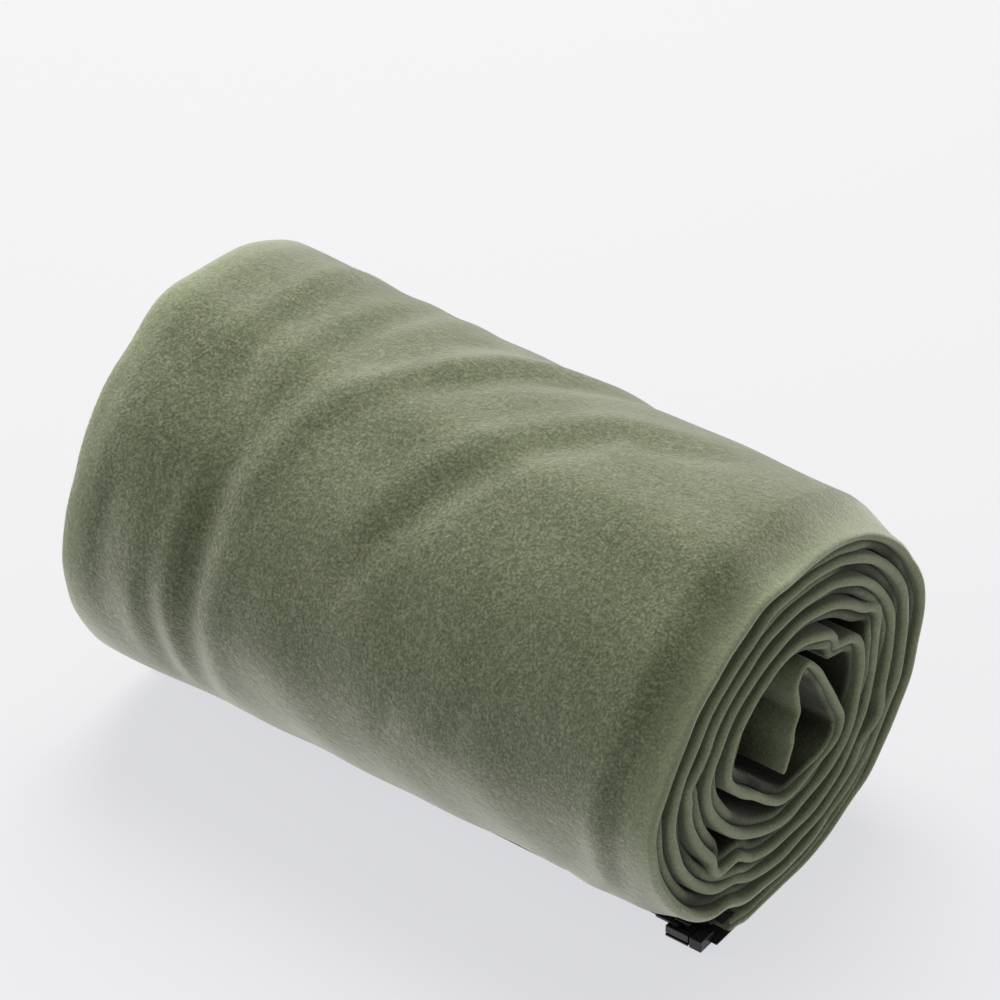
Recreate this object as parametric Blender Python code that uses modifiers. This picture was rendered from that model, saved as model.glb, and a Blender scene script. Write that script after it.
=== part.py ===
"""Camp blanket: a zip-edged fleece blanket, folded into a strip and rolled up.

The roll lies on the floor with its axis along X. The origin is on the floor, under the middle
of the roll. Seen from +X the strip is wound clockwise on its way out. It comes down the far
(+Y) side, and its last stretch, the tail, passes under the roll to the near (-Y) side.
The tail's hem carries both halves of a separated coil zip, one below it and one on top. The
slider is parked on the lower half, against the retainer box at the +X end. All sizes are in metres.
"""

import math

import bmesh
import bpy
from mathutils import Matrix, Vector

# The roll
ROLL_LENGTH = 0.280
AXIS_HEIGHT = 0.084
TURNS = 6.0
TAIL_ANGLE = math.radians(-45)
STEPS_PER_TURN = 36
# How far the roll settles on what it rests on, and the room its turns take under the hollow
SETTLED = 0.0006
BOTTOM_LAYERS = 0.0546
# Half-axes towards near (-Y), far (+Y), top and bottom, about the roll's axis
WOUND = {"near": 0.100, "far": 0.092, "top": 0.0886, "bottom": AXIS_HEIGHT + SETTLED}
HOLLOW = {"near": 0.029, "far": 0.038, "top": 0.024, "bottom": WOUND["bottom"] - BOTTOM_LAYERS}
CURL_TURNS = 0.72
CURL_CLOSING = 0.95

# The strip: the blanket folded lengthwise into four plies
STRIP = 0.0066
LIP_RADIUS = 0.0024
TAIL_DROP = 0.0030
TAIL_DROP_TURNS = 0.08
TAIL_FLAT_STEPS = 3
TAIL_END = 0.036
HEM_LENGTH = 0.005
HEM_RAMP = 0.005
HEM_LIFT = 0.0022

# Clearances: between pieces that touch, and round what slides or turns
GAP = 0.0003
RUNNING = 0.00025

# Zip tapes and coils
TAPE_THICKNESS = 0.0006
TAPE_SEWN = 0.004
LOWER_TAPE_OUT = 0.0075
UPPER_TAPE_OUT = 0.004
TAPE_MARGIN = 0.001
COIL_WIDTH = 0.0024
COIL_HEIGHT = 0.0021
COIL_PROUD = 0.001
COIL_MARGIN = 0.006
COIL_EDGE = 0.0007

# Stitches that hold the tapes to the hem
STITCH_LENGTH = 0.0036
STITCH_RISE = 0.0002
STITCH_INSET = 0.0015
THREAD_RADIUS = 0.0002

# Stops, pins and retainer box at the ends of the coils
STOP_LENGTH = 0.0028
STOP_WALL = 0.0007
PIN_LENGTH = 0.008
BOX_LENGTH = 0.0055
BOX_WALL = 0.0008
BOX_SOCKET = 0.0040

# Slider
SLIDER_LENGTH = 0.0105
SLIDER_PLATE = 0.0009
SLIDER_FLANGE = 0.0007
SLIDER_EDGE = 0.00035
PARK_GAP = 0.0005
DIAMOND_WIDTH = 0.0014
DIAMOND_LENGTH = 0.0034
BRIDGE_WIDTH = 0.0020
BRIDGE_LENGTH = 0.0066
BRIDGE_WALL = 0.0007
BRIDGE_CLEARANCE = 0.00035

# Pull tab
PULL_LENGTH = 0.0110
PULL_WIDTH = 0.0056
PULL_THICKNESS = 0.0010
PULL_BAR = 0.0010
PULL_BAR_SHIFT = 0.0010
PULL_EYE_WIDTH = 0.0030
PULL_EYE_LENGTH = 0.0050
PULL_HOLE_WIDTH = 0.0022
PULL_HOLE_LENGTH = 0.0030
PULL_HOLE_INSET = 0.0016
PULL_CORNER = 0.0012

# How far a cutter runs past the faces that it opens
OVERRUN = 0.001

FINISHES = {
    "fleece": {"colour": (0.155, 0.175, 0.105, 1.0), "roughness": 0.95, "metallic": 0.0},
    "woven_tape": {"colour": (0.012, 0.012, 0.013, 1.0), "roughness": 0.85, "metallic": 0.0},
    "nylon": {"colour": (0.010, 0.010, 0.011, 1.0), "roughness": 0.42, "metallic": 0.0},
    "thread": {"colour": (0.014, 0.014, 0.014, 1.0), "roughness": 0.70, "metallic": 0.0},
    "black_enamel": {"colour": (0.020, 0.020, 0.021, 1.0), "roughness": 0.30, "metallic": 0.6},
}


def clear_scene():
    for obj in list(bpy.data.objects):
        bpy.data.objects.remove(obj)


def new_collection(name):
    collection = bpy.data.collections.new(name)
    bpy.context.scene.collection.children.link(collection)
    return collection


def finish_part(obj, name, finish, collection):
    """Names an object, gives it its own material and moves it into the collection."""
    obj.name = name
    obj.data.name = name
    material = bpy.data.materials.new(f"{name}_{finish}")
    material.use_nodes = True
    shader = material.node_tree.nodes["Principled BSDF"]
    shader.inputs["Base Color"].default_value = FINISHES[finish]["colour"]
    shader.inputs["Roughness"].default_value = FINISHES[finish]["roughness"]
    shader.inputs["Metallic"].default_value = FINISHES[finish]["metallic"]
    obj.data.materials.clear()
    obj.data.materials.append(material)
    move_to(obj, collection)
    return obj


def move_to(obj, collection):
    for other in list(obj.users_collection):
        other.objects.unlink(obj)
    collection.objects.link(obj)


def add_box(low, high, origin=(0, 0, 0), edge=0.0):
    """A box between two opposite corners in world space, with its object at the origin given."""
    low, high, origin = Vector(low), Vector(high), Vector(origin)
    bpy.ops.mesh.primitive_cube_add(size=1, location=origin)
    box = bpy.context.active_object
    size = Matrix.Diagonal((*(high - low), 1))
    box.data.transform(Matrix.Translation((low + high) / 2 - origin) @ size)
    if edge:
        ease = box.modifiers.new("eased_edges", "BEVEL")
        ease.width = edge
        ease.segments = 2
    return box


def carve(obj, tool, operation, helpers):
    """Cuts a helper object out of a piece, or joins it on."""
    change = obj.modifiers.new(operation.lower(), "BOOLEAN")
    change.operation = operation
    change.object = tool
    tool.hide_render = True
    tool.display_type = "WIRE"
    tool.name = f"{operation.lower()}_tool"
    move_to(tool, helpers)


def half_axis_radius(theta, axes):
    """Radius at an angle of an oval that has its own half-axis towards each side."""
    across = axes["far"] if math.cos(theta) > 0 else axes["near"]
    upright = axes["top"] if math.sin(theta) > 0 else axes["bottom"]
    return 1 / math.hypot(math.cos(theta) / across, math.sin(theta) / upright)


def winding_point(wound):
    """(y, z) of the strip's middle after that many turns, counted from the hollow outwards."""
    outside = TURNS - 0.5
    theta = TAIL_ANGLE + math.tau * (outside - wound)
    inner = half_axis_radius(theta, HOLLOW)
    outer = half_axis_radius(theta, WOUND)
    radius = inner + (outer - inner) * wound / TURNS
    if wound < 0.5:
        radius *= 1 - CURL_CLOSING * (0.5 - wound)
    drop = TAIL_DROP * min(max((wound - outside) / TAIL_DROP_TURNS, 0), 1)
    height = AXIS_HEIGHT + radius * math.sin(theta) - drop
    return radius * math.cos(theta), max(height, STRIP / 2)


def strip_path():
    """The strip's middle line in the YZ plane, from the curl in the hollow to the tail's hem.

    It is shifted along Y so that the roll's box is centred on the origin.
    """
    start = 0.5 - CURL_TURNS
    lowest = TURNS - 0.5 + (math.radians(90) + TAIL_ANGLE) / math.tau
    steps = round((lowest - start) * STEPS_PER_TURN)
    points = [winding_point(lowest - i / STEPS_PER_TURN) for i in range(steps, -1, -1)]
    resting = STRIP / 2
    from_y = points[-1][0]
    ramp_y = HEM_LENGTH + HEM_RAMP - TAIL_END
    for i in range(1, TAIL_FLAT_STEPS + 1):
        points.append((from_y + (ramp_y - from_y) * i / TAIL_FLAT_STEPS, resting))
    for share in (0.5, 1.0):
        rise = HEM_LIFT * (3 - 2 * share) * share**2
        points.append((ramp_y - HEM_RAMP * share, resting + rise))
    points.append((-TAIL_END, resting + HEM_LIFT))
    middle = (min(y for y, z in points) + max(y for y, z in points)) / 2
    return [(y - middle, z) for y, z in points]


def make_fleece(path, collection):
    """The strip: its middle line drawn along X into a sheet, thickened, with rounded lips."""
    shape = bmesh.new()
    verts = [shape.verts.new((-ROLL_LENGTH / 2, y, z)) for y, z in path]
    line = [shape.edges.new(pair) for pair in zip(verts, verts[1:])]
    drawn = bmesh.ops.extrude_edge_only(shape, edges=line)["geom"]
    moved = [item for item in drawn if isinstance(item, bmesh.types.BMVert)]
    bmesh.ops.translate(shape, verts=moved, vec=(ROLL_LENGTH, 0, 0))
    mesh = bpy.data.meshes.new("fleece_panel")
    shape.to_mesh(mesh)
    shape.free()
    mesh.shade_smooth()
    panel = bpy.data.objects.new("fleece_panel", mesh)
    bpy.context.scene.collection.objects.link(panel)
    cloth = panel.modifiers.new("cloth", "SOLIDIFY")
    cloth.thickness = STRIP
    cloth.offset = 0
    cloth.use_even_offset = True
    lips = panel.modifiers.new("lips", "BEVEL")
    lips.width = LIP_RADIUS
    lips.segments = 2
    lips.limit_method = "ANGLE"
    lips.angle_limit = math.radians(70)
    return finish_part(panel, "fleece_panel", "fleece", collection)


def lay_out_zip(hem_y):
    """Heights and places of the zip's two halves, worked out from the hem they are sewn to."""
    lower, upper = {}, {}
    lower["tape_top"] = HEM_LIFT - GAP
    lower["tape_bottom"] = lower["tape_top"] - TAPE_THICKNESS
    lower["coil_bottom"] = lower["tape_top"] + GAP
    lower["edge"] = hem_y - LOWER_TAPE_OUT
    upper["tape_bottom"] = HEM_LIFT + STRIP + GAP
    upper["tape_top"] = upper["tape_bottom"] + TAPE_THICKNESS
    upper["coil_bottom"] = upper["tape_bottom"] - GAP - COIL_HEIGHT
    upper["edge"] = hem_y - UPPER_TAPE_OUT
    for half in (lower, upper):
        half["sewn"] = hem_y + TAPE_SEWN
        half["coil_top"] = half["coil_bottom"] + COIL_HEIGHT
        half["coil_out"] = half["edge"] - COIL_PROUD
        half["coil_in"] = half["coil_out"] + COIL_WIDTH
    half_length = ROLL_LENGTH / 2
    coil_end = half_length - COIL_MARGIN - PIN_LENGTH
    pin_end = coil_end + GAP + PIN_LENGTH
    ends = {
        "tape": (TAPE_MARGIN - half_length, half_length - TAPE_MARGIN),
        "coil": (COIL_MARGIN - half_length, coil_end),
        "pin": (coil_end + GAP, pin_end),
        "box": (pin_end - BOX_SOCKET, pin_end - BOX_SOCKET + BOX_LENGTH),
    }
    return lower, upper, ends


def make_tape(name, half, ends, collection):
    low = (ends["tape"][0], half["edge"], half["tape_bottom"])
    high = (ends["tape"][1], half["sewn"], half["tape_top"])
    return finish_part(add_box(low, high), name, "woven_tape", collection)


def make_coil(name, half, ends, collection):
    low = (ends["coil"][0], half["coil_out"], half["coil_bottom"])
    high = (ends["coil"][1], half["coil_in"], half["coil_top"])
    return finish_part(add_box(low, high, edge=COIL_EDGE), name, "nylon", collection)


def make_pin(name, half, ends, collection):
    """The stiff end of a half, in line with its coil."""
    low = (ends["pin"][0], half["coil_out"], half["coil_bottom"])
    high = (ends["pin"][1], half["coil_in"], half["coil_top"])
    return finish_part(add_box(low, high, edge=COIL_EDGE), name, "nylon", collection)


def make_stop(name, half, ends, helpers, collection):
    """A clip round the tape's edge, past the coil's end, that the slider meets."""
    start = ends["coil"][0] - GAP - STOP_LENGTH
    bottom = min(half["coil_bottom"], half["tape_bottom"] - GAP - STOP_WALL)
    top = max(half["coil_top"], half["tape_top"] + GAP + STOP_WALL)
    low = (start, half["coil_out"], bottom)
    high = (start + STOP_LENGTH, half["coil_in"], top)
    stop = add_box(low, high, edge=SLIDER_EDGE)
    slot_low = (start - OVERRUN, half["edge"] - GAP, half["tape_bottom"] - GAP)
    slot_high = (high[0] + OVERRUN, high[1] + OVERRUN, half["tape_top"] + GAP)
    carve(stop, add_box(slot_low, slot_high), "DIFFERENCE", helpers)
    return finish_part(stop, name, "black_enamel", collection)


def make_stitches(name, y, face_z, outward, ends, collection):
    """A row of stitches along the tape: one thread that rises over each stitch."""
    count = int((ends["tape"][1] - ends["tape"][0]) / STITCH_LENGTH) - 1
    first = ends["tape"][0] + STITCH_LENGTH
    curve = bpy.data.curves.new(name, "CURVE")
    curve.dimensions = "3D"
    curve.bevel_depth = THREAD_RADIUS
    curve.bevel_resolution = 0
    curve.use_fill_caps = True
    line = curve.splines.new("POLY")
    line.points.add(2 * count)
    for i, point in enumerate(line.points):
        rise = GAP + THREAD_RADIUS + STITCH_RISE * (i % 2)
        point.co = (first + STITCH_LENGTH * i / 2, y, face_z + outward * rise, 1)
    row = bpy.data.objects.new(name, curve)
    bpy.context.scene.collection.objects.link(row)
    return finish_part(row, name, "thread", collection)


def lay_out_slider(lower, ends):
    """The slider's faces and channels, worked out from the coil and tape that it runs on."""
    slider = {
        "x": ends["box"][0] - PARK_GAP - SLIDER_LENGTH / 2,
        "y": lower["coil_out"] - RUNNING - DIAMOND_WIDTH / 2,
        "channel_bottom": lower["tape_bottom"] - RUNNING,
        "channel_top": lower["coil_top"] + RUNNING,
        "slot_top": lower["tape_top"] + RUNNING,
    }
    slider["half_channel"] = DIAMOND_WIDTH / 2 + 2 * RUNNING + COIL_WIDTH
    slider["half_width"] = slider["half_channel"] + SLIDER_FLANGE
    slider["bottom"] = slider["channel_bottom"] - SLIDER_PLATE
    slider["top"] = slider["channel_top"] + SLIDER_PLATE
    slider["bar_x"] = slider["x"] - PULL_BAR_SHIFT
    slider["bar_z"] = slider["top"] + BRIDGE_CLEARANCE + PULL_BAR / 2
    slider["bridge_top"] = slider["bar_z"] + PULL_BAR / 2 + BRIDGE_CLEARANCE + BRIDGE_WALL
    return slider


def make_slider(slider, helpers, collection):
    """Two plates joined by a diamond, flanges that leave a slot for each tape, and a bridge."""
    x, y = slider["x"], slider["y"]
    middle = (x, y, (slider["bottom"] + slider["top"]) / 2)
    front, back = x + SLIDER_LENGTH / 2, x - SLIDER_LENGTH / 2
    low = (back, y - slider["half_width"], slider["bottom"])
    high = (front, y + slider["half_width"], slider["top"])
    body = add_box(low, high, origin=middle, edge=SLIDER_EDGE)

    bridge_low = (x - BRIDGE_LENGTH / 2, y - BRIDGE_WIDTH / 2, slider["top"] - SLIDER_PLATE / 2)
    bridge_high = (x + BRIDGE_LENGTH / 2, y + BRIDGE_WIDTH / 2, slider["bridge_top"])
    bridge = add_box(bridge_low, bridge_high, edge=SLIDER_EDGE)
    carve(body, bridge, "UNION", helpers)
    under_low = (bridge_low[0] + BRIDGE_WALL, bridge_low[1] - OVERRUN, slider["top"])
    under_high = (bridge_high[0] - BRIDGE_WALL, bridge_high[1] + OVERRUN, slider["bridge_top"] - BRIDGE_WALL)
    carve(body, add_box(under_low, under_high), "DIFFERENCE", helpers)

    for side in (-1, 1):
        inner = y + side * DIAMOND_WIDTH / 2
        outer = y + side * slider["half_channel"]
        channel_low = (back - OVERRUN, min(inner, outer), slider["channel_bottom"])
        channel_high = (front + OVERRUN, max(inner, outer), slider["channel_top"])
        carve(body, add_box(channel_low, channel_high), "DIFFERENCE", helpers)
        inner = y + side * (slider["half_channel"] - RUNNING)
        outer = y + side * (slider["half_width"] + OVERRUN)
        slot_low = (back - OVERRUN, min(inner, outer), slider["channel_bottom"])
        slot_high = (front + OVERRUN, max(inner, outer), slider["slot_top"])
        carve(body, add_box(slot_low, slot_high), "DIFFERENCE", helpers)
    behind_low = (back + DIAMOND_LENGTH, y - DIAMOND_WIDTH, slider["channel_bottom"])
    behind_high = (front + OVERRUN, y + DIAMOND_WIDTH, slider["channel_top"])
    carve(body, add_box(behind_low, behind_high), "DIFFERENCE", helpers)
    return finish_part(body, "slider_body", "black_enamel", collection)


def make_pull(slider, slider_body, helpers, collection):
    """A flat tab whose end bar lies under the bridge. At rest it points along -X."""
    axis = Vector((slider["bar_x"], slider["y"], slider["bar_z"]))
    near_end = axis.x + PULL_BAR / 2
    low = (near_end - PULL_LENGTH, axis.y - PULL_WIDTH / 2, axis.z - PULL_THICKNESS / 2)
    high = (near_end, axis.y + PULL_WIDTH / 2, axis.z + PULL_THICKNESS / 2)
    tab = add_box(low, high, origin=axis)
    corners = tab.modifiers.new("round_corners", "BEVEL")
    corners.width = PULL_CORNER
    corners.segments = 3
    corners.limit_method = "WEIGHT"
    weights = tab.data.attributes.new("bevel_weight_edge", "FLOAT", "EDGE")
    for edge in tab.data.edges:
        ends = [tab.data.vertices[i].co for i in edge.vertices]
        upright = abs(ends[0].z - ends[1].z) > PULL_THICKNESS / 2
        weights.data[edge.index].value = 1.0 if upright and ends[0].x < -PULL_LENGTH / 2 else 0.0
    holes = (
        (axis.x - PULL_BAR / 2, PULL_EYE_LENGTH, PULL_EYE_WIDTH),
        (low[0] + PULL_HOLE_INSET + PULL_HOLE_LENGTH, PULL_HOLE_LENGTH, PULL_HOLE_WIDTH),
    )
    for hole_end, length, width in holes:
        hole_low = (hole_end - length, axis.y - width / 2, low[2] - OVERRUN)
        hole_high = (hole_end, axis.y + width / 2, high[2] + OVERRUN)
        carve(tab, add_box(hole_low, hole_high), "DIFFERENCE", helpers)
    finish_part(tab, "pull_tab", "black_enamel", collection)
    bpy.context.view_layer.update()
    tab.parent = slider_body
    tab.matrix_parent_inverse = slider_body.matrix_world.inverted()
    return tab


def make_retainer(lower, ends, slider, helpers, collection):
    """The box on the lower half's pin, with an empty socket beside it for the other pin."""
    left, right = ends["box"]
    low = (left, slider["y"] - slider["half_width"], slider["bottom"])
    high = (right, slider["y"] + slider["half_width"], lower["coil_top"] + GAP + BOX_WALL)
    box = add_box(low, high, edge=SLIDER_EDGE)
    for side in (-1, 1):
        inner = slider["y"] + side * DIAMOND_WIDTH / 2
        outer = slider["y"] + side * slider["half_channel"]
        socket_low = (left - OVERRUN, min(inner, outer), lower["tape_bottom"] - GAP)
        socket_high = (ends["pin"][1] + GAP, max(inner, outer), lower["coil_top"] + GAP)
        carve(box, add_box(socket_low, socket_high), "DIFFERENCE", helpers)
    slot_low = (low[0] - OVERRUN, lower["edge"] - GAP, lower["tape_bottom"] - GAP)
    slot_high = (right + OVERRUN, high[1] + OVERRUN, lower["tape_top"] + GAP)
    carve(box, add_box(slot_low, slot_high), "DIFFERENCE", helpers)
    return finish_part(box, "retainer_box", "nylon", collection)


def build():
    clear_scene()
    parts = new_collection("camp_blanket")
    helpers = new_collection("helpers")
    path = strip_path()
    make_fleece(path, parts)

    hem_y = path[-1][0]
    lower, upper, ends = lay_out_zip(hem_y)
    slider = lay_out_slider(lower, ends)
    make_tape("zip_tape_lower", lower, ends, parts)
    make_tape("zip_tape_upper", upper, ends, parts)
    make_coil("zip_coil_lower", lower, ends, parts)
    make_coil("zip_coil_upper", upper, ends, parts)
    make_pin("retaining_pin", lower, ends, parts)
    make_pin("insertion_pin", upper, ends, parts)
    make_stop("end_stop_lower", lower, ends, helpers, parts)
    make_stop("end_stop_upper", upper, ends, helpers, parts)
    make_retainer(lower, ends, slider, helpers, parts)

    stitch_y = lower["sewn"] - STITCH_INSET
    make_stitches("stitches_lower", stitch_y, lower["tape_bottom"], -1, ends, parts)
    make_stitches("stitches_upper", stitch_y, upper["tape_top"], 1, ends, parts)

    body = make_slider(slider, helpers, parts)
    make_pull(slider, body, helpers, parts)


build()
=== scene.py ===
# Camp blanket: the looks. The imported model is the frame, the cloth and the zip are made here.
# Metres, +Z up; the roll's axis runs along X.
import math

import bpy
import numpy as np
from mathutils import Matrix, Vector


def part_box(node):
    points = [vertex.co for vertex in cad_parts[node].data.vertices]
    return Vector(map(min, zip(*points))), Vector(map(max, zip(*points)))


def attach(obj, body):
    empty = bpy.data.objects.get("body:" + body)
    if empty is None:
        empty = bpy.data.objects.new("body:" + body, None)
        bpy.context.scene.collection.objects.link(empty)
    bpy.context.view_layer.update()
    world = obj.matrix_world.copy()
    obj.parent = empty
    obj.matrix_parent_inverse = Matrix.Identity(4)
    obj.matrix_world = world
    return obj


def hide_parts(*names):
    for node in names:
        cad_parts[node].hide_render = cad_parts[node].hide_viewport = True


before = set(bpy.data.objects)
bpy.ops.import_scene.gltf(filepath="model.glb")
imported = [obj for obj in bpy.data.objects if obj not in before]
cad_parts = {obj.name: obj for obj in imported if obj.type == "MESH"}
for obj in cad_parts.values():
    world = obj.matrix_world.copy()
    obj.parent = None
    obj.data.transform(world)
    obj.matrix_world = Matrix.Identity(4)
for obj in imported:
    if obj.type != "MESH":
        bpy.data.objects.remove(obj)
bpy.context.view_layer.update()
bpy.ops.object.select_all(action="DESELECT")
mm = 0.001
print("frame loaded")


# camera
cameraView = {
    "azimuth": 36.83,        # degrees round from the near (-Y) side towards +X
    "elevation": 38.84,
    "distance": 1.888,
    "lens": 176.7,
    "sensor": 36.0,
    "shift": (0.00925, 0.0779),
    "aim": (0.0, 0.0, 0.084),
}


def makeCamera(v):
    a, e = math.radians(v["azimuth"]), math.radians(v["elevation"])
    back = Vector((math.sin(a) * math.cos(e), -math.cos(a) * math.cos(e), math.sin(e)))
    bpy.ops.object.camera_add(location=Vector(v["aim"]) + back * v["distance"])
    cam = bpy.context.object
    cam.name = "viewCamera"
    cam.rotation_euler = back.to_track_quat("Z", "Y").to_euler()
    cam.data.lens = v["lens"]
    cam.data.sensor_width = v["sensor"]
    cam.data.shift_x, cam.data.shift_y = v["shift"]
    cam.data.clip_end = 50
    bpy.context.scene.camera = cam


makeCamera(cameraView)
print("camera placed")


# shader helpers
class Sock:
    # a socket that can be added, multiplied and so on, each adding a Math node
    def __init__(self, tree, out):
        self.tree, self.out = tree, out

    def math(self, op, a, b=None, clamp=False):
        ins = {0: a} if b is None else {0: a, 1: b}
        return self.tree.add("ShaderNodeMath", {"operation": op, "use_clamp": clamp}, ins)

    def __add__(self, o):
        return self.math("ADD", self, o)

    def __radd__(self, o):
        return self.math("ADD", o, self)

    def __sub__(self, o):
        return self.math("SUBTRACT", self, o)

    def __rsub__(self, o):
        return self.math("SUBTRACT", o, self)

    def __mul__(self, o):
        return self.math("MULTIPLY", self, o)

    def __rmul__(self, o):
        return self.math("MULTIPLY", o, self)

    def clamped(self):
        return self.math("ADD", self, 0.0, clamp=True)


class Look:
    # one material: its Principled shader and a short way to add nodes
    def __init__(self, name, color, rough, metal=0.0, **fixed):
        self.mat = bpy.data.materials.new(name)
        self.mat.use_nodes = True
        self.nodes = self.mat.node_tree.nodes
        self.links = self.mat.node_tree.links
        self.shader = self.nodes["Principled BSDF"]
        self.shader.inputs["Base Color"].default_value = (*color, 1)
        self.shader.inputs["Roughness"].default_value = rough
        self.shader.inputs["Metallic"].default_value = metal
        for key, value in fixed.items():
            self.shader.inputs[key.replace("_", " ")].default_value = value
        self.mat.diffuse_color = (*color, 1)

    def add(self, kind, settings=None, ins=None, out=0):
        node = self.nodes.new(kind)
        for key, value in (settings or {}).items():
            if key == "stops":
                self.setStops(node.color_ramp, value)
            else:
                setattr(node, key, value)
        for key, value in (ins or {}).items():
            self.feed(node.inputs[key], value)
        return Sock(self, node.outputs[out])

    def setStops(self, ramp, stops):
        while len(ramp.elements) < len(stops):
            ramp.elements.new(0.5)
        for element, (place, color) in zip(ramp.elements, stops):
            element.position = place
            element.color = (*color, 1)

    def feed(self, socket, value):
        if isinstance(value, Sock):
            self.links.new(value.out, socket)
        else:
            socket.default_value = value

    def set(self, name, value):
        self.feed(self.shader.inputs[name], value)

    def coords(self, stretch=(1, 1, 1)):
        place = self.add("ShaderNodeTexCoord", out="Object")
        return self.add("ShaderNodeMapping", None, {"Vector": place, "Scale": stretch})

    def noise(self, coords, scale, detail=2.0, rough=0.5):
        ins = {"Vector": coords, "Scale": scale, "Detail": detail, "Roughness": rough}
        return self.add("ShaderNodeTexNoise", None, ins, "Fac")

    def tint(self, fac, a, b):
        # a and b are colours or sockets; fac blends from a to b
        wide = lambda c: c if isinstance(c, Sock) else (*c, 1)
        ins = {0: fac, 6: wide(a), 7: wide(b)}
        return self.add("ShaderNodeMix", {"data_type": "RGBA"}, ins, 2)

    def bump(self, height, strength, depth, under=None):
        ins = {"Height": height, "Strength": strength, "Distance": depth}
        if under:
            ins["Normal"] = under
        return self.add("ShaderNodeBump", None, ins)


# fleece
fleeceLook = {
    "deep": (0.050, 0.066, 0.026),
    "mid": (0.110, 0.132, 0.068),
    "tips": (0.240, 0.264, 0.156),
    # painted highlight colour for the lips at the ends
    "lips": (0.290, 0.330, 0.205),
    "hollow": (0.006, 0.009, 0.003),     # painted shade in the gaps between the lips at the ends
    "sheen": 0.9,            # on the outer face
    "insideSheen": 0.3,      # on all the plies and lips inside it
    "pileScale": 900,        # grains of pile per metre of noise
    "clumpScale": 300,
    "patchScale": 16,
    "pileDepth": 0.0005,
    "clumpDepth": 0.0006,
}


def makeFleece(v, name, sheen):
    look = Look(name, v["mid"], 0.95, Sheen_Weight=sheen, Sheen_Roughness=0.5,
                Sheen_Tint=(1.0, 0.99, 0.92, 1), Specular_IOR_Level=0.12)
    place = look.coords()
    pile = look.noise(place, v["pileScale"], 3.0, 0.62)
    clumps = look.noise(place, v["clumpScale"], 2.0, 0.5)
    patches = look.noise(place, v["patchScale"], 2.0, 0.5)
    lip = look.add("ShaderNodeAttribute", {"attribute_name": "lip"}, out="Fac")
    depth = look.add("ShaderNodeAttribute", {"attribute_name": "depth"}, out="Fac")
    mix = (pile * 2.1 + clumps * 0.5 + patches * 0.2 - 0.95).clamped()
    stops = [(0.0, v["deep"]), (0.45, v["mid"]), (1.0, v["tips"])]
    color = look.add("ShaderNodeValToRGB", {"stops": stops}, {"Fac": mix})
    # painted highlight on the lips, from the lip attribute
    wearAndHighlight = (lip * (pile * 0.6 + 0.40)).clamped()
    # painted shade: the depth attribute blends the colour towards the dark shade colour in the ends' gaps
    look.set("Base Color", look.tint(depth * 0.92, look.tint(wearAndHighlight, color, v["lips"]), v["hollow"]))
    look.set("Roughness", 0.99 - pile * 0.12)
    soft = look.bump(clumps, 0.55, v["clumpDepth"])
    look.set("Normal", look.bump(pile, 0.75, v["pileDepth"], soft))
    return look.mat


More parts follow.
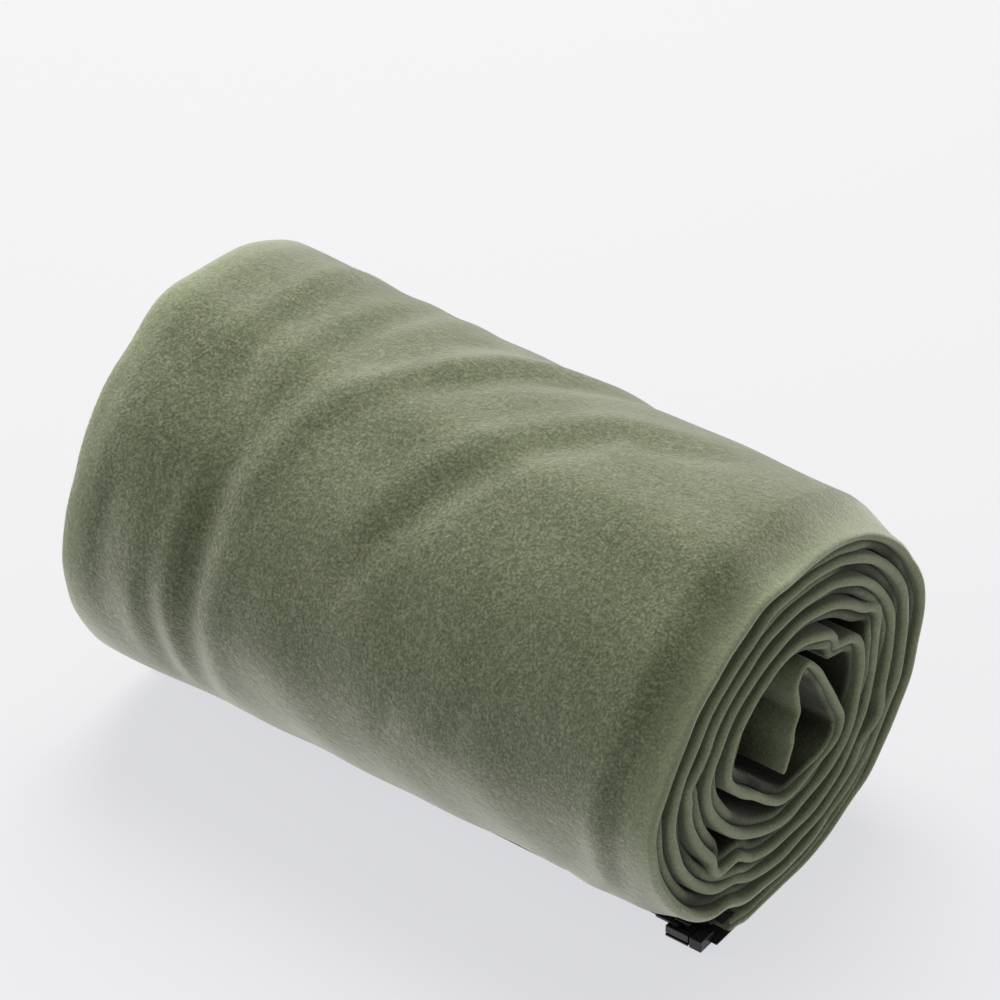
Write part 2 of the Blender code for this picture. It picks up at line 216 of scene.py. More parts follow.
# the rolled cloth
roll = {
    "halfLength": 140,
    "pairStep": 2.4,         # how far every second lip sits back
    "recess": 0.5,           # how far the inner turns sit back from the ends
    "axisHeight": 84,
    # middle line of the strip at the +X end, in mm from the roll's axis: (y, z)
    "coreRoute": [(-2, -25), (1.5, -14), (2.5, -6), (6.5, -0.5), (5.5, 6), (4.5, 13), (9, 18.5),
                  (15, 13), (21, 3.5), (26.5, -6), (31.5, -16), (35.5, -25), (33, -31.5), (24, -36),
                  (12, -38.5), (-1, -38), (-9, -32.5), (-20, -21.5), (-30, -12.5)],
    # radius of each turn every 45 degrees, from near through top, far and bottom
    "turnRadii": [
        (38, 34, 31, 31.5, 46, 51, 47.5, 45),
        (50, 44, 40.5, 44.5, 58, 61, 57, 57),
        (61.5, 54, 49.5, 54.5, 68, 70, 65, 68),
        (73.5, 63.5, 58, 63.5, 78, 78.5, 73.2, 79),
        (85, 72.5, 67.1, 73.0, 87.8, 86.5),
    ],
    "tailRoute": [(46, -70.5), (30, -77.5), (15, -80.5), (0, -80.7), (-15, -80.7), (-25.5, -80.6),
                  (-31, -78.7), (-35.6, -78.5)],
    # local crumples: turn, degrees round it from near over the top, mm out (or in), half width in degrees
    "crumples": [
        (0, 158, -5.0, 7), (0, 174, 1.5, 6), (0, 60, -1.2, 12),
        (1, 166, 4.0, 6), (1, 186, -1.5, 8), (1, 316, 4.5, 5), (1, 304, -2.5, 6),
        (2, 8, 3.0, 4), (2, 21, -2.5, 6), (2, 212, 3.0, 4.5), (2, 223, -2.0, 5),
        (3, 188, -2.2, 14), (3, 74, 1.0, 9),
        (4, 74, 2.4, 10),
    ],
    # strip thickness at the same angles, and in the core and the tail
    "thickness": (9.7, 8.9, 8.4, 8.6, 8.9, 8.6, 7.9, 9.4),
    "coreThickness": 5.4,
    "coreLength": 260,
    "tailThickness": 6.6,
    "tailLength": 95,
    "clothShare": 0.89,      # of a ply's room that the cloth fills
    # outer radii of the whole roll, every 45 degrees: at the +X rim, along the body, at the -X rim
    "rimRadii": (89.5, 76.9, 71.4, 77.4, 92.2, 90.8, 77.2, 83.5),
    "bodyRadii": (90.5, 86.5, 83.0, 86.0, 92.0, 90.8, 77.2, 87.0),
    "endRadii": (91.5, 91.5, 89.5, 88.5, 91.0, 88.0, 76.0, 88.5),
    "rimStart": 120,
    "endStart": -60,
    "rowStep": (2.2, 3.1),   # in the core, and further out
    "endRound": 3.2,         # length over which the strip's two ends are rounded
    "outerTurn": 655,        # length of strip, from the hem, that gets the fine columns
    "columns": (8, 96),      # along the roll, for hidden faces and for the outer face
    "calmHem": (130, 40),    # from the hem: lips stop wandering between these lengths
    "tailFlat": (120, 60),   # from the hem: folds and fullness stop between these lengths
    "sag": 3.0,              # how far the core may drift inside the roll
    "lipShade": (0.6, 4.6),  # depth below its lip over which the painted shade deepens
    "tongue": (62, 48),      # length of the free inner end, which keeps its light
    "floorGap": 0.15,
}


def smoothRoute(points, step):
    # a curve through given points, read every step
    p = np.array(points, float)
    t = np.concatenate([[0], np.cumsum(np.linalg.norm(np.diff(p, axis=0), axis=1) ** 0.5)])
    ahead, behind = np.diff(t)[1:, None], np.diff(t)[:-1, None]
    slopes = np.diff(p, axis=0) / np.diff(t)[:, None]
    middle = (slopes[1:] * behind + slopes[:-1] * ahead) / (ahead + behind)
    slope = np.concatenate([slopes[:1], middle, slopes[-1:]])
    fine = []
    for i in range(len(p) - 1):
        h = t[i + 1] - t[i]
        s = np.linspace(0, 1, 40, endpoint=False)[:, None]
        fine.append((2 * s**3 - 3 * s**2 + 1) * p[i] + (s**3 - 2 * s**2 + s) * h * slope[i]
                    + (3 * s**2 - 2 * s**3) * p[i + 1] + (s**3 - s**2) * h * slope[i + 1])
    fine = np.concatenate(fine + [p[-1:]])
    along = np.concatenate([[0], np.cumsum(np.linalg.norm(np.diff(fine, axis=0), axis=1))])
    stations = [0.0]
    while stations[-1] < along[-1]:
        stations.append(stations[-1] + step(stations[-1]))
    stations = np.array(stations) * along[-1] / stations[-1]
    close = np.array([0.35, 1.0])                        # extra rows that round the cloth's two ends
    stations = np.sort(np.concatenate([stations, close, along[-1] - close]))
    return np.stack([np.interp(stations, along, fine[:, k]) for k in (0, 1)], 1), stations


def roundTable(values, angle):
    # smooth value at an angle (radians, from near over the top) of a table given every 45 degrees
    v = np.array(values, float)
    k = angle / (2 * np.pi) * len(v)
    i = np.floor(k).astype(int)
    f = k - i
    a, b, c, d = (v[(i + o) % len(v)] for o in (-1, 0, 1, 2))
    return b + 0.5 * f * (c - a + f * (2 * a - 5 * b + 4 * c - d + f * (3 * (b - c) + d - a)))


def smooth(edge0, edge1, x):
    t = np.clip((x - edge0) / (edge1 - edge0), 0, 1)
    return t * t * (3 - 2 * t)


def wander(along, seed, waves=((170, 1.0), (83, 0.7), (41, 0.45), (23, 0.25))):
    # a slow random wave along the strip, between about -1 and 1
    pick = np.random.default_rng(seed)
    total = sum(size for _, size in waves)
    parts = [size * np.sin(along / length * 2 * np.pi + pick.uniform(0, 6.28)) for length, size in waves]
    return sum(parts) / total


def stripRoute(v):
    points = list(v["coreRoute"])
    for turn in v["turnRadii"]:
        for k, radius in enumerate(turn):
            a = math.radians(45 * k)
            points.append((-radius * math.cos(a), radius * math.sin(a)))
    points += v["tailRoute"]
    core, outer = v["rowStep"]
    route, along = smoothRoute(points, lambda s: core if s < v["coreLength"] else outer)
    # crumples: each pushes one turn in or out round one direction
    angle = np.unwrap(np.arctan2(route[:, 1], -route[:, 0]))
    hem = math.atan2(route[-1, 1], -route[-1, 0])
    turned = np.degrees(angle - angle[-1] + hem) + 360 * len(v["turnRadii"])
    distance = np.linalg.norm(route, axis=1, keepdims=True)
    push = np.zeros(len(route))
    for turn, degrees, height, width in v["crumples"]:
        push += height * np.exp(-((turned - 360 * turn - degrees) / width) ** 2)
    return route * (1 + push[:, None] / distance), along


creases = {
    # each fold or dent in mm: its height, its half width, and the line it runs along,
    # as (x, degrees from near over the top)
    "lines": [
        (3.6, 7.5, [(-66, 38), (-58, 62), (-47, 75), (-41, 82), (-32, 90), (-17, 111), (-6, 118),
                    (8, 131), (22, 146)]),
        (-3.4, 8.0, [(-30, 80), (-24, 87), (-8, 102), (3, 111), (18, 124), (30, 132), (44, 143)]),
        (-3.2, 7.5, [(-14, 26), (-6, 37), (5, 50), (14, 62), (23, 71), (33, 83), (43, 91), (48, 99),
                     (60, 101), (75, 107), (90, 114)]),
        (2.2, 7.0, [(-16, 46), (-5, 60), (6, 73), (16, 84), (28, 95), (38, 104), (56, 112), (72, 119)]),
        (2.4, 7.5, [(-102, 74), (-101, 100), (-100, 140)]),
        (-2.2, 6.0, [(-92, 60), (-92, 90), (-90, 130)]),
        (1.8, 6.5, [(-78, 56), (-76, 95), (-74, 138)]),
        (-1.6, 6.0, [(-68, 78), (-67, 95), (-64, 120)]),
        (1.6, 7.0, [(-54, 100), (-52, 125), (-50, 145)]),
        (-2.4, 7.0, [(-38, 108), (-34, 115), (-30, 124)]),
        (2.2, 6.0, [(-105, -18), (-104, 0), (-103, 20)]),
        (-2.4, 5.5, [(-95, -30), (-94, -12), (-95, 8)]),
        (2.2, 6.0, [(-88, -22), (-88, 8), (-87, 34)]),
        (-4.0, 6.5, [(-79, -30), (-77, 0), (-76, 24), (-74, 44)]),
        (1.8, 7.0, [(-66, -24), (-65, 4), (-62, 26)]),
        (-2.0, 6.0, [(-121, -10), (-120, 15), (-119, 30)]),
        (-2.6, 8.0, [(-138, 30), (-136, 40), (-133, 52)]),
        (-2.2, 4.2, [(121, -30), (123, -15), (124, 12), (123, 45), (122, 90)]),
        (1.6, 4.5, [(112, -22), (113, -5), (114, 16)]),
        (-2.2, 6.0, [(14, -8), (18, -2), (22, 5)]),
        (-2.0, 6.0, [(45, 0), (49, 5), (54, 12)]),
        (-1.4, 6.0, [(82, -42), (97, -26), (112, -8)]),
        (1.2, 6.0, [(92, -46), (106, -30), (117, -16)]),
        (1.2, 16.0, [(-58, -24), (-20, -22), (30, -19)]),
        (-2.0, 7.0, [(128, 108), (130, 122), (134, 136)]),
        (-2.0, 9.0, [(-60, 170), (-20, 182), (30, 178), (80, 190)]),
        (1.8, 8.0, [(-90, 196), (-40, 204), (20, 200)]),
        (-2.4, 8.0, [(60, 150), (84, 168), (96, 190), (100, 212)]),
        (-1.8, 7.0, [(-118, 150), (-112, 178), (-108, 206)]),
        (-5.8, 8.5, [(-200, -61), (0, -61), (170, -61)]),    # hollow under the near side, over the zip
    ],
    "fade": (205, 235, 278, 290),    # degrees between which the underside stays flat
    "bulge": (300, 318),             # degrees over which the body grows past the rim, above the zip
    "strength": 0.58,
    "under": 2.6,                    # mm of room below the outer face for the folds
    "underEnds": (118, 139),         # that room closes between these distances from the middle
    "scaleRadius": 86,               # mm, the radius at which the lines' degrees are laid out
    "inward": 0.50,                  # share of the radius at which folds have died out
    "ripple": 0.45,                  # mm of soft unevenness all over
}


def plyOutline(fineCount, coarseCount):
    # once round the four plies in one section, as rows of
    # (x share, ply, n, n per half thickness, dx, dx per half thickness, lip)
    mids = (1.5, 0.5, -0.5, -1.5)
    out = []

    def run(ply, side, forward, count=coarseCount):
        for i in range(count + 1):
            f = i / count if forward else 1 - i / count
            if count == coarseCount:
                f -= 0.06 * math.sin(2 * math.pi * f)
            near = max(0.0, 1 - min(f, 1 - f) * 22)
            out.append((f, ply, mids[ply], side, 0.0, 0.0, near))

    def turn(ply, end, middle, gap, half, start, steps):
        # a half circle of radius gap + half * (half thickness) that closes an end
        for i in range(1, steps):
            a = math.radians(start * (90 - 180 * i / steps))
            out.append((max(end, 0.0), ply, middle + math.sin(a) * gap, math.sin(a) * half,
                        end * math.cos(a) * gap, end * math.cos(a) * half, 1.0))

    run(0, 1, True, fineCount)
    turn(0, 1.0, 1.0, 0.5, 1.0, 1, 7)
    run(1, -1, False)
    turn(1, -1.0, 0.0, 0.5, -1.0, 1, 3)
    run(2, 1, True)
    turn(2, 1.0, -1.0, 0.5, 1.0, 1, 7)
    run(3, -1, False)
    turn(3, -1.0, mids[3], 0.0, 1.0, -1, 4)
    run(3, 1, True)
    turn(3, 1.0, -1.0, 0.5, -1.0, -1, 3)
    run(2, -1, False)
    turn(2, -1.0, 0.0, 0.5, 1.0, -1, 7)
    run(1, 1, True)
    turn(1, 1.0, 1.0, 0.5, -1.0, -1, 3)
    run(0, -1, False)
    turn(0, -1.0, mids[0], 0.0, 1.0, -1, 4)
    return np.array(out)


def bodyRadius(v, x, angle):
    # outer radius of the finished roll; it narrows to the rims
    body = roundTable(v["bodyRadii"], angle)
    rim = roundTable(v["rimRadii"], angle)
    end = roundTable(v["endRadii"], angle)
    toRim = smooth(v["rimStart"], v["halfLength"] - 1, x)
    toEnd = smooth(v["endStart"], -v["halfLength"] + 10, x)
    return body + (rim - body) * toRim + (end - body) * toEnd


def creaseHeight(c, x, degrees, radius):
    # mm that the cloth stands out at a place on the roll, from the listed folds
    total = np.zeros_like(x)
    turned = (degrees + 90) % 360 - 90
    arc = np.radians(turned) * radius
    around = np.radians(turned) * c["scaleRadius"]
    for height, width, line in c["lines"]:
        best = np.full(x.shape, 1e9)
        along = np.zeros(x.shape)
        pts = [(px, math.radians(pd) * c["scaleRadius"]) for px, pd in line]
        lengths = [math.dist(a, b) for a, b in zip(pts, pts[1:])]
        done = 0.0
        for (ax, ay), (bx, by), length in zip(pts, pts[1:], lengths):
            ux, uy = (bx - ax) / length, (by - ay) / length
            t = np.clip((x - ax) * ux + (around - ay) * uy, 0, length)
            d = np.hypot(x - ax - t * ux, around - ay - t * uy)
            closer = d < best
            best = np.where(closer, d, best)
            along = np.where(closer, done + t, along)
            done += length
        taper = np.sin(np.pi * np.clip(along / done, 0.0, 1.0)) ** 0.6
        total += height * c["strength"] * (0.35 + 0.65 * taper) * np.exp(-(best / width) ** 2)
    a0, a1, b0, b1 = c["fade"]
    flat = smooth(a0, a1, degrees % 360) * (1 - smooth(b0, b1, degrees % 360))
    ripple = (np.sin(x / 19 + np.sin(arc / 37) * 1.7) * np.sin(arc / 23 + np.sin(x / 41) * 1.3)
              + 0.6 * np.sin(x / 9.5 + arc / 17 + 2 * np.sin(x / 60)))
    return (total + c["ripple"] * ripple) * (1 - flat)


def makeCloth(v, c):
    route, along = stripRoute(v)
    count, total = len(route), along[-1]
    ahead = np.gradient(route, axis=0)
    ahead /= np.linalg.norm(ahead, axis=1, keepdims=True)
    outward = np.stack([-ahead[:, 1], ahead[:, 0]], 1)
    angle = np.arctan2(route[:, 1], -route[:, 0])
    thick = roundTable(v["thickness"], angle)
    core = smooth(0, v["coreLength"], along)
    thick = v["coreThickness"] + (thick - v["coreThickness"]) * core
    tail = smooth(total - v["tailLength"], total - v["tailLength"] * 0.3, along)
    thick = thick + (v["tailThickness"] - thick) * tail
    # the cloth's two ends are rounded by thinning its last rows
    ending = np.clip(np.minimum(along, total - along) / v["endRound"], 0.0, 1.0)
    half = v["clothShare"] / 2 * np.sqrt(ending * (2 - ending) * 0.96 + 0.04)
    ratio = np.clip(np.linalg.norm(route, axis=1) / c["scaleRadius"], 0, 1)
    inset = v["recess"] * (1 - ratio)
    reach = v["halfLength"] - thick / 4
    calmFrom, calmTo = (total - length for length in v["calmHem"])
    calm = 1 - smooth(calmFrom, calmTo, along)           # the hem keeps a straight edge
    rightA = reach - inset + calm * (1.3 * wander(along, 3) + 0.2)
    rightB = reach - inset + calm * (1.8 * wander(along, 5) - v["pairStep"])
    leftM = -reach + inset + calm * (1.6 * wander(along, 7) + 0.8)
    left0 = -reach + inset + calm * (1.5 * wander(along, 9) + 0.2)
    left3 = -reach + inset + calm * (1.5 * wander(along, 11) + 1.0)
    rights = np.stack([rightA, rightA, rightB, rightB], 1)
    lefts = np.stack([left0, leftM, leftM, left3], 1)

    few, many = v["columns"]
    coarse, fine = plyOutline(few, few), plyOutline(many, few)
    change = int(np.argmin(np.abs(along - (total - v["outerTurn"]))))
    points, lips, shadeMasks, hidden, starts = [], [], [], [], []
    for i in range(count):
        o = fine if i >= change else coarse
        ply = o[:, 1].astype(int)
        pitch = thick[i] / 4
        wave = 0.10 * np.sin(along[i] / 31 + ply // 2 * 2.1 + o[:, 0] * 2.4)
        n = (o[:, 2] + o[:, 3] * half[i] + wave * (1 - tail[i])) * pitch
        x = lefts[i, ply] + (rights[i, ply] - lefts[i, ply]) * o[:, 0]
        x = x + (o[:, 4] + o[:, 5] * half[i]) * pitch
        y = route[i, 0] + outward[i, 0] * n
        z = route[i, 1] + outward[i, 1] * n
        starts.append(sum(len(p) for p in points))
        points.append(np.stack([x, y, z], 1))
        # mask of the painted highlight on the lips; the inner pair of plies gets half
        lips.append(o[:, 6] * np.where(ply > 1, 0.5, 1.0))
        inner = 1 - smooth(0.7, 1.7, n / pitch) if i >= change else np.ones_like(n)
        hidden.append(inner)
        # painted shade mask: darker the deeper a point lies below the ends' lips, never on the outer face,
        # weaker on the free inner end
        fromLip = np.minimum(rights[i].max() + pitch - x, x - lefts[i].min() + pitch)
        tongue = 1 - 0.7 * smooth(*v["tongue"], along[i])
        shadeMasks.append(smooth(*v["lipShade"], fromLip) * inner * tongue)
    p, lip, shadeMask, hidden = (np.concatenate(k) for k in (points, lips, shadeMasks, hidden))

    # fill the rim's section out to the body's, then add the folds
    x, y, z = p.T
    a = np.arctan2(z, -y)
    radius = np.hypot(y, z)
    rim = roundTable(v["rimRadii"], a)
    q = np.clip(radius / rim, 0, 1.05)
    row = np.repeat(np.arange(count), [len(k) for k in points])
    tailFrom, tailTo = (total - length for length in v["tailFlat"])
    onTail = smooth(tailFrom, tailTo, along)[row]
    under = np.degrees(a) % 360
    under = smooth(c["fade"][0], c["fade"][1], under) * (1 - smooth(*c["bulge"], under))
    grow = (bodyRadius(v, x, a) / rim - 1) * q**2.2 * (1 - onTail) * (1 - under)
    folds = creaseHeight(c, x, np.degrees(a), radius + 1e-6)
    # what lies under the outer face has few columns, so it sits lower and never shows in a fold
    room = c["under"] * (1 - smooth(*c["underEnds"], np.abs(x)))
    folds = np.where(hidden > 0.5, np.minimum(folds, 0) - room, folds)
    folds *= smooth(c["inward"], 1.0, q) * (1 - onTail)
    loose = np.clip(1 - q, 0, 1) ** 1.2 * v["sag"] * (1 - smooth(-v["halfLength"], 60, x))
    y = y * (1 + grow) - np.cos(a) * folds + loose * np.sin(x / 55 + 1.0)
    z = z * (1 + grow) + np.sin(a) * folds + loose * np.cos(x / 47)
    z = np.maximum(z + v["axisHeight"], v["floorGap"])
    verts = np.stack([x, y, z], 1) * mm

    faces = []
    for i in range(count - 1):
        s, t = starts[i], starts[i + 1]
        m = len(points[i])
        if i + 1 == change:
            extra = len(fine) - len(coarse)
            step = many // few
            for k in range(few):
                far = [t + step * (k + 1) - j for j in range(step + 1)]
                faces.append([s + k, s + k + 1] + far)
            for k in range(few, m):
                n1 = (k + 1) % m
                faces.append([s + k, s + n1, t + (n1 + extra if n1 else 0), t + k + extra])
        else:
            for k in range(m):
                n1 = (k + 1) % m
                faces.append([s + k, s + n1, t + n1, t + k])
    faces += capFaces(coarse, few, 0, flip=True)
    faces += capFaces(fine, many, starts[-1], flip=False)

    mesh = bpy.data.meshes.new("fleeceCloth")
    mesh.from_pydata([tuple(q3) for q3 in verts], [], faces)
    # lip is the mask of the painted highlight on the lips, depth the mask of the painted shade in the gaps
    for name, values in (("lip", lip), ("depth", shadeMask)):
        mesh.attributes.new(name, "FLOAT", "POINT").data.foreach_set("value", values.astype(np.float32))
    for face in mesh.polygons:
        face.material_index = int(min(hidden[k] for k in face.vertices) > 0.5)
    cloth = bpy.data.objects.new("fleeceCloth", mesh)
    bpy.context.collection.objects.link(cloth)
    return cloth


def capFaces(outline, outer, base, flip):
    # closes one end of the cloth: ply by ply, then the joints between plies; o and i are a ply's outer
    # and inner face, b and s the large and small arcs of a fold, e the free edges
    c, big, small, edge = 9, 6, 2, 3
    place = {}
    at = 0
    runs = (("o0", outer + 1), ("b01", big), ("i1", c), ("s12", small), ("o2", c), ("b23", big),
            ("i3", c), ("e3", edge), ("o3", c), ("s32", small), ("i2", c), ("b21", big),
            ("o1", c), ("s10", small), ("i0", c), ("e0", edge))
    for name, size in runs:
        place[name] = list(range(at, at + size))
        at += size
    assert at == len(outline)
    out = []

    def strip(outs, ins):
        step = (len(outs) - 1) // (len(ins) - 1)
        for k in range(len(ins) - 1):
            out.append(ins[k:k + 2][::-1] + outs[k * step:(k + 1) * step + 1])

    def bend(before, arc, after, before2, arc2, after2):
        ring1 = [before] + arc + [after]
        ring2 = ([before2] + arc2 + [after2])[::-1]
        # the outer arc has more points: split them evenly over the inner arc's steps
        per = (len(ring1) - 1) / (len(ring2) - 1)
        for k in range(len(ring2) - 1):
            a0, a1 = round(k * per), round((k + 1) * per)
            out.append([ring2[k + 1], ring2[k]] + ring1[a0:a1 + 1])

    p = place
    strip(p["o0"], p["i0"][::-1])
    strip(p["o1"], p["i1"][::-1])
    strip(p["o2"], p["i2"][::-1])
    strip(p["o3"], p["i3"][::-1])
    bend(p["o0"][-1], p["b01"], p["i1"][0], p["o1"][-1], p["s10"], p["i0"][0])
    bend(p["o2"][-1], p["b23"], p["i3"][0], p["o3"][-1], p["s32"], p["i2"][0])
    bend(p["i2"][-1], p["b21"], p["o1"][0], p["i1"][-1], p["s12"], p["o2"][0])
    out.append([p["o0"][0], p["i0"][-1]] + p["e0"])
    out.append([p["o3"][0], p["i3"][-1]] + p["e3"])
    return [[base + k for k in (f[::-1] if flip else f)] for f in out]


cloth = makeCloth(roll, creases)
cloth.data.materials.append(makeFleece(fleeceLook, "fleece", fleeceLook["sheen"]))
cloth.data.materials.append(makeFleece(fleeceLook, "fleeceInside", fleeceLook["insideSheen"]))
cloth.data.shade_smooth()
print("cloth rolled:", len(cloth.data.polygons), "faces")


# zip looks
zipLooks = {
    "weaveColors": ((0.004, 0.004, 0.005), (0.030, 0.030, 0.032)),
    "weavePitch": 0.00042,
    "nylonColors": ((0.006, 0.006, 0.007), (0.022, 0.022, 0.024)),
    "threadColors": ((0.010, 0.010, 0.010), (0.040, 0.040, 0.041)),
    "enamelColors": ((0.010, 0.010, 0.011), (0.055, 0.054, 0.052)),
}


def makeWeave(v):
    dark, light = v["weaveColors"]
    look = Look("wovenTape", light, 0.82, Sheen_Weight=0.10, Specular_IOR_Level=0.25)
    place = look.coords()
    scale = 1 / v["weavePitch"] / 20 * 3.1416
    warp = look.add("ShaderNodeTexWave", {"wave_type": "BANDS", "bands_direction": "Y"},
                    {"Vector": place, "Scale": scale, "Distortion": 0.3}, "Fac")
    twill = look.add("ShaderNodeTexWave", {"wave_type": "BANDS", "bands_direction": "DIAGONAL"},
                     {"Vector": place, "Scale": scale * 1.4, "Distortion": 0.4}, "Fac")
    fuzz = look.noise(place, 2600, 2.0, 0.6)
    yarn = (warp * 0.45 + twill * 0.35 + fuzz * 0.35).clamped()
    look.set("Base Color", look.tint(yarn, dark, light))
    look.set("Roughness", 0.95 - yarn * 0.25)
    look.set("Normal", look.bump(yarn, 0.8, 0.00012))
    return look.mat


def makeNylon(v):
    dark, light = v["nylonColors"]
    look = Look("zipNylon", dark, 0.38, Specular_IOR_Level=0.45)
    place = look.coords()
    scuff = look.noise(place, 900, 3.0, 0.6)
    drawn = look.noise(look.coords((1, 14, 14)), 420, 2.0, 0.5)
    wear = (scuff * 1.6 + drawn * 0.5 - 0.75).clamped()
    look.set("Base Color", look.tint(wear, dark, light))
    look.set("Roughness", 0.30 + wear * 0.35)
    look.set("Normal", look.bump(drawn, 0.35, 0.00005))
    return look.mat


def makeThread(v):
    dark, light = v["threadColors"]
    look = Look("zipThread", dark, 0.7, Sheen_Weight=0.15)
    place = look.coords()
    twist = look.add("ShaderNodeTexWave", {"wave_type": "BANDS", "bands_direction": "DIAGONAL"},
                     {"Vector": place, "Scale": 900, "Distortion": 1.0}, "Fac")
    fuzz = look.noise(place, 3200, 2.0, 0.6)
    ply = (twist * 0.7 + fuzz * 0.4).clamped()
    look.set("Base Color", look.tint(ply, dark, light))
    look.set("Roughness", 0.85 - ply * 0.2)
    look.set("Normal", look.bump(ply, 0.7, 0.00008))
    return look.mat


def makeEnamel(v):
    # lighter colour of worn enamel where scratches show through
    dark, wearAndHighlight = v["enamelColors"]
    look = Look("blackEnamel", dark, 0.3, 0.5, Coat_Roughness=0.22)
    place = look.coords()
    orange = look.noise(place, 1500, 2.0, 0.5)
    scratch = look.noise(look.coords((1, 9, 9)), 700, 3.0, 0.7)
    wear = (scratch * 2.2 + orange * 0.4 - 1.35).clamped()
    look.set("Base Color", look.tint(wear, dark, wearAndHighlight))
    look.set("Roughness", 0.24 + wear * 0.3 + orange * 0.08)
    look.set("Metallic", 0.35 + wear * 0.5)
    look.set("Coat Weight", 0.6 - wear * 0.5)
    look.set("Normal", look.bump(orange, 0.25, 0.00006))
    return look.mat


weave, nylon = makeWeave(zipLooks), makeNylon(zipLooks)
thread, enamel = makeThread(zipLooks), makeEnamel(zipLooks)


# zip pieces
def activeMesh():
    # the active object after bpy.ops, with its place moved into its mesh
    ob = bpy.context.object
    bpy.ops.object.transform_apply(location=True, rotation=True, scale=True)
    return ob


def finishPiece(ob, name, material, node, body="blanket"):
    ob.name = ob.data.name = name
    ob.data.materials.clear()
    ob.data.materials.append(material)
    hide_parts(node)
    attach(ob, body)
    return ob


def applyAll(ob):
    for m in list(ob.modifiers):
        bpy.ops.object.modifier_apply(modifier=m.name)


tape = {
    "cuts": (210, 16),
    "thickness": 0.00042,
    "bead": 0.00010,         # raised cord along the outer edge
    "beadWidth": 0.0009,
    "wave": 0.00007,
}


def makeTape(name, node, v, seed):
    low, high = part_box(node)
    middle, size = (low + high) / 2, high - low
    bpy.ops.object.select_all(action="DESELECT")
    cutsX, cutsY = v["cuts"]
    bpy.ops.mesh.primitive_grid_add(x_subdivisions=cutsX, y_subdivisions=cutsY, size=1, location=middle)
    bpy.ops.transform.resize(value=(size.x - 0.0004, size.y, 1))
    ob = activeMesh()
    for vert in ob.data.vertices:
        x, y = vert.co.x, vert.co.y
        toEdge = (y - low.y) / v["beadWidth"]
        bead = v["bead"] * math.exp(-(toEdge - 1) ** 2)
        wave = v["wave"] * math.sin(x * 260 + seed) * math.sin(y * 410 + x * 90 + seed)
        vert.co.z = middle.z - v["thickness"] / 2 + wave + bead
    solid = ob.modifiers.new("thickness", "SOLIDIFY")
    solid.thickness = v["thickness"]
    solid.offset = 1
    applyAll(ob)
    return finishPiece(ob, name, weave, node)


coil = {
    "pitch": 0.0015,
    "wire": 0.00030,         # radius of the filament
    "steps": 12,
    "sides": 6,
    "flat": 0.93,
}


def makeCoil(name, node, v):
    low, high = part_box(node)
    middle, size = (low + high) / 2, high - low
    turns = int((size.x - 2 * v["wire"]) / v["pitch"])
    radius = size.z / 2 - v["wire"]
    start = (middle.x - turns * v["pitch"] / 2, middle.y, middle.z)
    bpy.ops.object.select_all(action="DESELECT")
    bpy.ops.mesh.primitive_circle_add(vertices=v["sides"], radius=v["wire"], location=start,
                                      rotation=(math.pi / 2, 0, 0))
    ob = bpy.context.object
    bpy.ops.object.transform_apply(location=False, rotation=True, scale=False)
    bpy.ops.object.mode_set(mode="EDIT")
    bpy.ops.transform.translate(value=(0, 0, radius))
    bpy.ops.object.mode_set(mode="OBJECT")
    screw = ob.modifiers.new("winding", "SCREW")
    screw.axis = "X"
    screw.screw_offset = v["pitch"]
    screw.iterations = turns
    screw.steps = screw.render_steps = v["steps"]
    screw.use_smooth_shade = True
    applyAll(ob)
    bpy.ops.object.mode_set(mode="EDIT")
    bpy.ops.mesh.select_all(action="SELECT")
    wide = (size.y / 2 - v["wire"]) / radius * v["flat"]
    bpy.ops.transform.resize(value=(1, wide, 1), center_override=start)
    bpy.ops.mesh.fill_holes(sides=v["sides"])
    bpy.ops.mesh.select_all(action="SELECT")
    bpy.ops.mesh.normals_make_consistent(inside=False)
    bpy.ops.object.mode_set(mode="OBJECT")
    return finishPiece(activeMesh(), name, nylon, node)


stitch = {
    "length": 0.0029,
    "pitch": 0.0036,
    "thick": (0.00036, 0.00024),
    "segments": (8, 6),
}


def makeStitches(name, node, v):
    low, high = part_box(node)
    middle, size = (low + high) / 2, high - low
    count = int(size.x / v["pitch"])
    first = middle.x - (count - 1) * v["pitch"] / 2
    bpy.ops.object.select_all(action="DESELECT")
    bpy.ops.mesh.primitive_uv_sphere_add(segments=v["segments"][0], ring_count=v["segments"][1], radius=0.5,
                                         location=(first, middle.y, middle.z), rotation=(0, math.pi / 2, 0))
    bpy.ops.object.transform_apply(location=False, rotation=True, scale=False)
    ob = bpy.context.object
    bpy.ops.transform.resize(value=(v["length"], *v["thick"]))
    bpy.ops.object.shade_smooth()
    ob = activeMesh()
    row = ob.modifiers.new("row", "ARRAY")
    row.count = count
    row.use_relative_offset = False
    row.use_constant_offset = True
    row.constant_offset_displace = (v["pitch"], 0, 0)
    applyAll(ob)
    return finishPiece(ob, name, thread, node)


zipPieces = [
    makeTape("zipTapeLower", "zip_tape_lower", tape, 0.4),
    makeTape("zipTapeUpper", "zip_tape_upper", tape, 2.1),
    makeCoil("zipCoilLower", "zip_coil_lower", coil),
    makeCoil("zipCoilUpper", "zip_coil_upper", coil),
    makeStitches("zipStitchesLower", "stitches_lower", stitch),
    makeStitches("zipStitchesUpper", "stitches_upper", stitch),
]

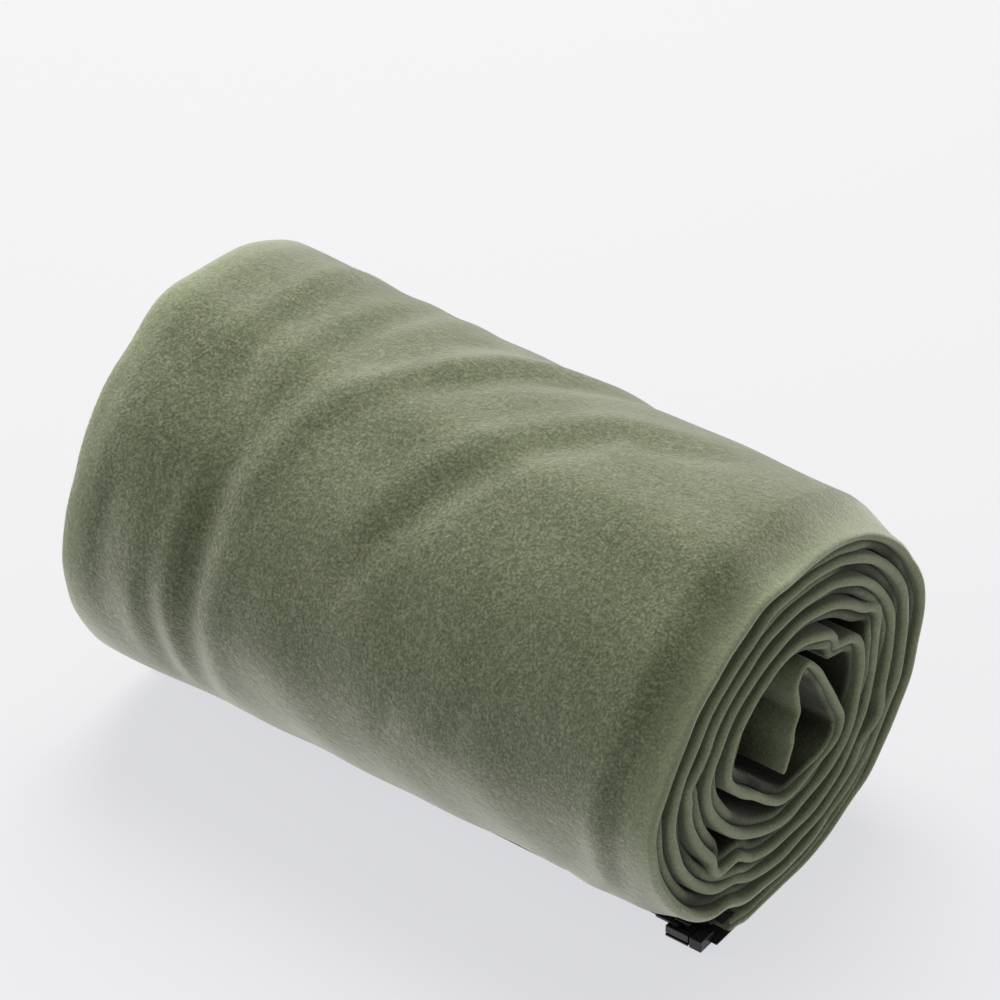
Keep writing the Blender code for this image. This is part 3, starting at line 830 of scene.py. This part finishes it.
keptNodes = {
    "slider_body": enamel, "pull_tab": enamel, "retainer_box": nylon, "end_stop_lower": enamel,
    "end_stop_upper": enamel, "insertion_pin": nylon, "retaining_pin": nylon,
}
for nodeName, material in keptNodes.items():
    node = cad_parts[nodeName]
    node.data.materials.clear()
    node.data.materials.append(material)
print("zip dressed")

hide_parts("fleece_panel")
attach(cloth, "blanket")


# floor and light
studio = {
    "floorColor": (0.14, 0.138, 0.134),
    "floorGlow": (0.93, 0.935, 0.975, 0.70),     # colour and strength
    "worldColor": (1.0, 0.99, 0.97),
    "worldStrength": 0.27,
    # place, aim, size, power, colour
    "lamps": {
        "overhead": ((-0.55, 0.85, 1.8), (0, 0, 0.08), 1.4, 57, (1.0, 0.98, 0.94)),
        "lowFill": ((-2.1, -0.7, 0.55), (-0.1, 0, 0.05), 1.0, 27, (1.0, 0.99, 0.98)),
    },
}


def makeFloor(v):
    bpy.ops.mesh.primitive_plane_add(size=8, location=(0, 0, 0))
    floor = bpy.context.object
    floor.name = "floor"
    look = Look("floorPaper", v["floorColor"], 0.75, Specular_IOR_Level=0.2)
    place = look.coords()
    grain = look.noise(place, 350, 2.0, 0.5)
    look.set("Roughness", 0.7 + grain * 0.1)
    look.shader.inputs["Emission Color"].default_value = (*v["floorGlow"][:3], 1)
    look.shader.inputs["Emission Strength"].default_value = v["floorGlow"][3]
    floor.data.materials.append(look.mat)


def lightStudio(v):
    world = bpy.data.worlds.new("studioWorld")
    world.use_nodes = True
    back = world.node_tree.nodes["Background"]
    back.inputs[0].default_value = (*v["worldColor"], 1)
    back.inputs[1].default_value = v["worldStrength"]
    bpy.context.scene.world = world
    for name, (place, aim, size, power, color) in v["lamps"].items():
        bpy.ops.object.light_add(type="AREA", location=place)
        lamp = bpy.context.object
        lamp.name = name
        lamp.data.size = size
        lamp.data.energy = power
        lamp.data.color = color
        lamp.rotation_euler = (Vector(place) - Vector(aim)).to_track_quat("Z", "Y").to_euler()
    bpy.context.scene.view_settings.view_transform = "Standard"


makeFloor(studio)
lightStudio(studio)
print("studio lit")
